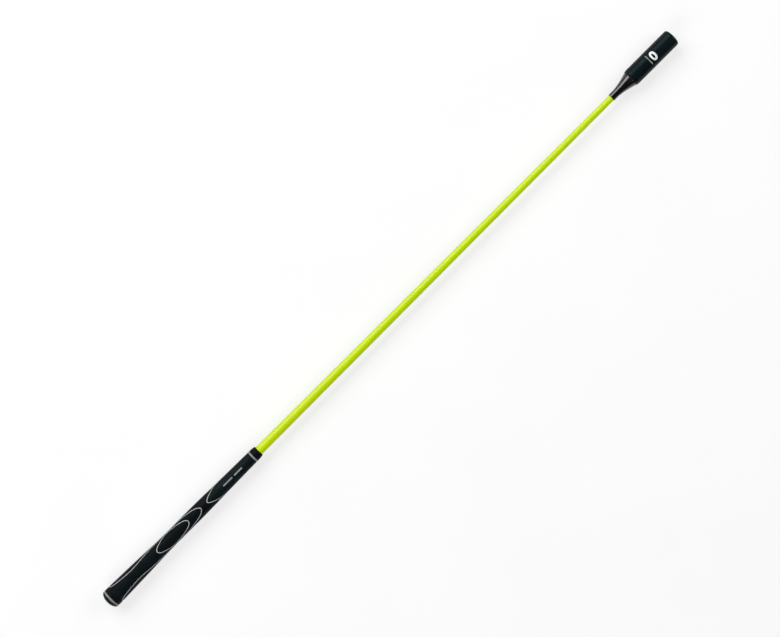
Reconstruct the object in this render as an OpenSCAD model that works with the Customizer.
// Swing trainer stick: a rubber golf grip, a tapered fibreglass shaft and a small weighted head.
// The stick lies along +X on a floor at Z = 0: the butt of the grip is at -X, the head at +X.
// Lengths along the stick are measured from the butt, and the origin is under its mid-length.

/* [Stick] */
// Length from the butt of the grip to the end of the head
stick_l = 1000; // [920:5:1150]

/* [Grip] */
// Length of the grip, with its butt cap
grip_l = 267.6; // [255:0.1:285]
// Diameter just in front of the butt cap
grip_butt_d = 25.3; // [24.5:0.1:27]
// Diameter under the heel of the upper hand
grip_shoulder_d = 22.05; // [21:0.05:23]
// Diameter at the waist, under the upper hand's fingers
grip_waist_d = 19.4; // [18.6:0.1:20.5]
// Diameter under the lower hand's palm
grip_palm_d = 19.2; // [18.6:0.1:20]
// Diameter where the lower hand ends
grip_lower_d = 17.7; // [17.2:0.1:18.4]
// Diameter at the mouth, where the shaft comes out
grip_mouth_d = 15.8; // [15.2:0.1:16.8]
// Radius of the mouth's rounded edge
grip_mouth_round = 1.4; // [0.5:0.1:1.5]
// Thickness of the double-sided tape under the grip
tape_t = 0.2; // [0.1:0.05:0.3]

/* [Butt cap] */
// Height of the cap's dome
dome_h = 4.3; // [3:0.1:5]
// Diameter of the dome at its rim
dome_d = 24.6; // [23:0.1:25]
// How flat the dome is in the middle: 2 is an even curve
dome_power = 3.2; // [2:0.1:4]
// Width of the black rim between the dome and the grey ring
rim_w = 1.5; // [0.5:0.1:3]
// Width of the grey ring
ring_w = 2.5; // [2:0.1:4]
// Diameter of the cap's neck, which the grey ring sits on
cap_neck_d = 20.4; // [18:0.1:21]
// Diameter of the vent hole through the cap
vent_d = 3.2; // [2:0.1:5]

/* [Shaft] */
// Diameter under the grip, where the shaft is parallel
shaft_butt_d = 12.2; // [12:0.05:12.4]
// Diameter of the tip, which is parallel inside the head
shaft_tip_d = 8.7; // [8:0.05:9]
// Diameter of the hollow at the butt
hollow_butt_d = 7.6; // [6:0.1:8.5]
// Diameter of the hollow at the tip
hollow_tip_d = 4.4; // [4:0.1:5]
// Length of the plug in the butt of the hollow
plug_l = 18; // [10:1:30]

/* [Head] */
// Length of the rubber cover that shows in front of the neck
cover_l = 75.4; // [70:0.1:90]
// Diameter of the cover
cover_d = 23.1; // [22.5:0.1:26]
// Thickness of the cover's side wall
cover_wall = 2.15; // [1.8:0.05:2.4]
// Thickness of the cover's closed end
cover_end_t = 3; // [2.5:0.1:4]
// Length over which the cover's lip swells to its full diameter
lip_l = 6; // [4:0.5:8]
// Diameter of the cover's lip at the seam
lip_d = 20.4; // [20.2:0.1:20.8]
// Radius of the rounded corner at the cover's end
cover_round = 3; // [2:0.1:4]
// How far the cover's end is crowned
crown_h = 0.5; // [0.3:0.1:1]
// Length of the shaft's tip in the steel weight
socket_l = 34; // [30:1:40]
// Thickness of the foam disc behind the cover's end
cushion_t = 3; // [2:0.5:4]
// Diameter of the spring pin
pin_d = 3; // [2.5:0.1:3.5]
// Distance from the weight's rear face to the spring pin
pin_at = 17; // [12:1:22]

/* [Neck] */
// Length of the neck that shows, from the shaft to the cover
neck_l = 33.4; // [30:0.1:38]
// Length of the neck's parallel collar round the shaft
collar_l = 7; // [5:0.5:10]
// Diameter of that collar
collar_d = 10.25; // [10:0.05:10.8]
// Diameter of the flare where it meets the cover
flare_d = 20.7; // [20.4:0.1:21]
// How late the flare opens: 1 is a plain cone
flare_power = 1.6; // [1.3:0.05:2]
// Length of the neck's spigot inside the cover
spigot_l = 3.4; // [2:0.1:5]

/* [Hidden] */
$fn = 96;

// Stations along the stick, from the butt
ring_x = dome_h + rim_w;
grip_x = ring_x + ring_w;
seam_x = stick_l - cover_l;
neck_x = seam_x - neck_l;
core_x = seam_x + spigot_l;
cushion_x = stick_l - cover_end_t - cushion_t;
tip_x = core_x + socket_l;
tape_end_x = grip_l - 6;
pin_x = core_x + pin_at;

axis_h = grip_butt_d / 2;
rim_d = (dome_d + grip_butt_d) / 2;
tape_r = shaft_butt_d / 2 + tape_t;
inner_r = cover_d / 2 - cover_wall;
insert_l = 30;
edge_round = 0.5;

// The grip's outline: its stations as parts of its length, with their diameters
grip_stations = [
    [grip_x, grip_butt_d],
    [0.24 * grip_l, grip_shoulder_d],
    [0.385 * grip_l, grip_waist_d],
    [0.61 * grip_l, grip_palm_d],
    [0.76 * grip_l, grip_lower_d],
    [grip_l - grip_mouth_round, grip_mouth_d]
];
last_station = len(grip_stations) - 1;
grip_steps = 6;

function rise(i) =
    let(a = grip_stations[max(i - 1, 0)], b = grip_stations[min(i + 1, last_station)])
    (b[1] - a[1]) / (b[0] - a[0]);

// One point of the smooth curve from station i to the next, as [radius, place]
function grip_point(i, t) =
    let(
        a = grip_stations[i],
        b = grip_stations[i + 1],
        run = b[0] - a[0],
        d = a[1] * (2 * t ^ 3 - 3 * t ^ 2 + 1) + rise(i) * run * (t ^ 3 - 2 * t ^ 2 + t)
            + b[1] * (3 * t ^ 2 - 2 * t ^ 3) + rise(i + 1) * run * (t ^ 3 - t ^ 2)
    )
    [d / 2, a[0] + run * t];

// Points of an arc round [r, x], with the angle counted from the radial direction towards +X
function arc(centre, radius, from, to, steps) =
    [for (k = [0 : steps]) let(a = from + (to - from) * k / steps)
        centre + radius * [cos(a), sin(a)]];

// The radius of a sphere that falls by h over the half-width w
function cap_radius(w, h) = (w ^ 2 + h ^ 2) / (2 * h);

// A solid turned round the stick's axis from an outline of [radius, place from the butt]
module turned(outline) {
    translate([-stick_l / 2, 0, axis_h]) rotate([0, 90, 0]) rotate_extrude() polygon(outline);
}

// A straight hole or rod on the stick's axis
module round_on_axis(d, from, to) {
    turned([[0, from], [d / 2, from], [d / 2, to], [0, to]]);
}

// The hole that the spring pin sits in
module pin_hole() {
    translate([pin_x - stick_l / 2, 0, axis_h]) rotate([90, 0, 0])
        cylinder(d = pin_d, h = 2 * cover_d, center = true);
}

module butt_cap() {
    dome_steps = 12;
    dome = [for (k = [0 : dome_steps]) let(t = k / dome_steps)
        [dome_d / 2 * t, dome_h * t ^ dome_power]];
    rim = [[rim_d / 2, ring_x], [cap_neck_d / 2, ring_x]];
    color("#141414") difference() {
        turned(concat(dome, rim, [[cap_neck_d / 2, grip_x], [0, grip_x]]));
        round_on_axis(vent_d, -1, grip_x + 1);
    }
}

module cap_ring() {
    color("#8f8f8f") turned([
        [cap_neck_d / 2, ring_x],
        [rim_d / 2, ring_x],
        [grip_butt_d / 2, grip_x],
        [cap_neck_d / 2, grip_x]
    ]);
}

module grip_sleeve() {
    body = [for (i = [0 : last_station - 1], k = [0 : grip_steps - 1]) grip_point(i, k / grip_steps)];
    round_r = grip_mouth_d / 2 - grip_mouth_round;
    mouth = arc([round_r, grip_l - grip_mouth_round], grip_mouth_round, 0, 90, 6);
    bore = [
        [shaft_butt_d / 2, grip_l],
        [shaft_butt_d / 2, tape_end_x],
        [tape_r, tape_end_x],
        [tape_r, grip_x]
    ];
    color("#161816") turned(concat(body, mouth, bore));
}

module grip_tape() {
    color("#d8cfae") turned([
        [shaft_butt_d / 2, grip_x],
        [tape_r, grip_x],
        [tape_r, tape_end_x],
        [shaft_butt_d / 2, tape_end_x]
    ]);
}

module shaft() {
    color("#c2d708") difference() {
        turned([
            [hollow_butt_d / 2, grip_x],
            [shaft_butt_d / 2, grip_x],
            [shaft_butt_d / 2, grip_l],
            [shaft_tip_d / 2, neck_x],
            [shaft_tip_d / 2, tip_x],
            [hollow_tip_d / 2, tip_x],
            [hollow_tip_d / 2, tip_x - insert_l],
            [hollow_butt_d / 2, grip_x + plug_l]
        ]);
        pin_hole();
    }
}

module butt_plug() {
    color("#303030") round_on_axis(hollow_butt_d, grip_x, grip_x + plug_l);
}

module tip_insert() {
    color("#b8b8b8") difference() {
        round_on_axis(hollow_tip_d, tip_x - insert_l, tip_x);
        pin_hole();
    }
}

module neck_ferrule() {
    flare_l = neck_l - collar_l - edge_round;
    flare_steps = 14;
    flare = [for (k = [0 : flare_steps]) let(t = k / flare_steps)
        [(collar_d + (flare_d - collar_d) * t ^ flare_power) / 2, neck_x + collar_l + flare_l * t]];
    collar = concat(
        [[shaft_tip_d / 2, neck_x]],
        arc([collar_d / 2 - edge_round, neck_x + edge_round], edge_round, -90, 0, 4)
    );
    seam = arc([flare_d / 2 - edge_round, seam_x - edge_round], edge_round, 0, 90, 4);
    spigot = [[inner_r, seam_x], [inner_r, core_x], [shaft_tip_d / 2, core_x]];
    color("#0b0b0b") turned(concat(collar, flare, seam, spigot));
}

module weight_core() {
    chamfer = 0.8;
    color("#9a9a9a") difference() {
        turned([
            [shaft_tip_d / 2, core_x],
            [inner_r - chamfer, core_x],
            [inner_r, core_x + chamfer],
            [inner_r, cushion_x - chamfer],
            [inner_r - chamfer, cushion_x],
            [0, cushion_x],
            [0, tip_x],
            [shaft_tip_d / 2, tip_x]
        ]);
        pin_hole();
    }
}

// A rolled pin: a tube with a slot along it
module lock_pin() {
    pin_wall = 0.6;
    slot_w = 0.7;
    pin_l = 2 * inner_r - 1;
    color("#707070") translate([pin_x - stick_l / 2, 0, axis_h]) rotate([90, 0, 0]) difference() {
        cylinder(d = pin_d, h = pin_l, center = true);
        cylinder(d = pin_d - 2 * pin_wall, h = pin_l + 1, center = true);
        translate([0, -slot_w / 2, -pin_l / 2 - 1]) cube([pin_d, slot_w, pin_l + 2]);
    }
}

module head_cover() {
    lip = [for (a = [90 : -15 : 15])
        [cover_d / 2 - (cover_d - lip_d) / 2 * (1 - cos(a)), seam_x + lip_l * (1 - sin(a))]];
    corner_r = cover_d / 2 - cover_round;
    end_x = stick_l - crown_h;
    corner = arc([corner_r, end_x - cover_round], cover_round, 0, 90, 6);
    crown_r = cap_radius(corner_r, crown_h);
    crown_a = asin(corner_r / crown_r);
    crown = arc([0, stick_l - crown_r], crown_r, 90 - crown_a, 90, 5);
    inside = [[0, stick_l - cover_end_t], [inner_r, stick_l - cover_end_t], [inner_r, seam_x]];
    outside = concat(
        lip,
        [[cover_d / 2, seam_x + lip_l]],
        corner,
        [for (k = [1 : len(crown) - 1]) crown[k]]
    );
    color("#1d201f") turned(concat(outside, inside));
}

module cushion_disc() {
    color("#4a4a4a") round_on_axis(2 * inner_r, cushion_x, cushion_x + cushion_t);
}

butt_cap();
cap_ring();
grip_sleeve();
grip_tape();
shaft();
butt_plug();
neck_ferrule();
weight_core();
tip_insert();
lock_pin();
head_cover();
cushion_disc();
